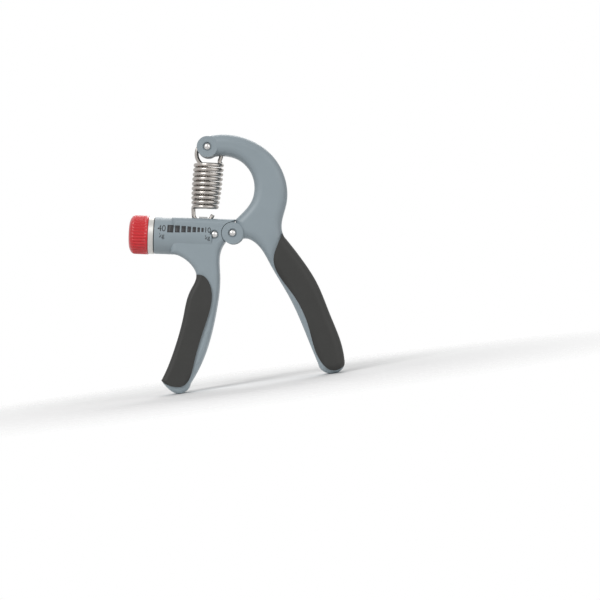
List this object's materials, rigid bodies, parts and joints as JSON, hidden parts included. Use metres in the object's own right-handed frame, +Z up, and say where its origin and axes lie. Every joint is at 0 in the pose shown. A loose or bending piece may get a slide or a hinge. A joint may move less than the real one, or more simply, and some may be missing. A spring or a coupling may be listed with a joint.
{
  "type": "hand dynamometer",
  "caption": "Spring hand gripper with a pivoting arch lever, rubber grips, tension spring and a knob that sets the force.",
  "frame": {"origin": "under the middle of the gripper's box, on the plane that its two handle tips stand on", "axes": "+Z up, -X towards the knob, -Y out of the face with the scale"},
  "size_m": [0.1116, 0.022, 0.1406],
  "materials": {
    "grey_plastic": "satin",
    "grip_rubber": "matte",
    "polished_steel": "polished",
    "white_nylon": "satin",
    "black_nylon": "satin",
    "spring_steel": "drawn wire",
    "zinc_steel": "zinc plated",
    "brass": "machined",
    "satin_aluminium": "satin",
    "red_plastic": "gloss"
  },
  "bodies": {
    "barrel_side": {"barrel_lever": "grey_plastic", "barrel_lever_grip": "grip_rubber", "pivot_bush": "white_nylon", "screw_end_pin": "polished_steel", "screw_end_pin_cap": "polished_steel", "screw_bearing": "white_nylon", "mouth_bush": "black_nylon", "collar_ring": "satin_aluminium"},
    "arch_side": {"arch_lever": "grey_plastic", "arch_lever_grip": "grip_rubber", "pivot_pin": "polished_steel", "pivot_pin_cap": "polished_steel", "spring_pin": "polished_steel", "spring_pin_cap": "polished_steel", "spring_pin_sleeve": "white_nylon"},
    "spring": {"tension_spring": "spring_steel"},
    "slider": {"slider_nut": "brass", "slider_eye": "zinc_steel"},
    "adjuster": {"knob_cap": "red_plastic", "knob_hub": "white_nylon", "knob_fixing_screw": "zinc_steel", "lead_screw": "zinc_steel"}
  },
  "joints": [
    {"name": "squeeze", "type": "hinge", "parent": "barrel_side", "child": "arch_side", "pos_m": [0.0032, 0, 0.08489], "axis": [0, 1, 0], "range_deg": [0, 40], "stiffness_Nm_per_rad": 6, "springref_deg": -17.19, "deforming": ["tension_spring"]},
    {"name": "knob_turn", "type": "hinge", "parent": "barrel_side", "child": "adjuster", "pos_m": [-0.04655, 0, 0.09065], "axis": [-0.9854, 0, 0.1703], "range_deg": [0, 5760], "deforming": ["tension_spring"]},
    {"name": "slider_travel", "type": "slide", "parent": "barrel_side", "child": "slider", "axis": [-0.9854, 0, 0.1703], "range_m": [0, 0.0201], "deforming": ["tension_spring"]},
    {"name": "spring_swing", "type": "hinge", "parent": "arch_side", "child": "spring", "pos_m": [-0.00447, 0, 0.13442], "axis": [0, 1, 0], "range_deg": [0, 25], "deforming": ["tension_spring"]}
  ],
  "couplings": [
    {"joint": "slider_travel", "follows": "knob_turn", "m_per_rad": 0.00019894},
    {"joint": "spring_swing", "follows": "knob_turn", "ratio": 0.0043229}
  ]
}
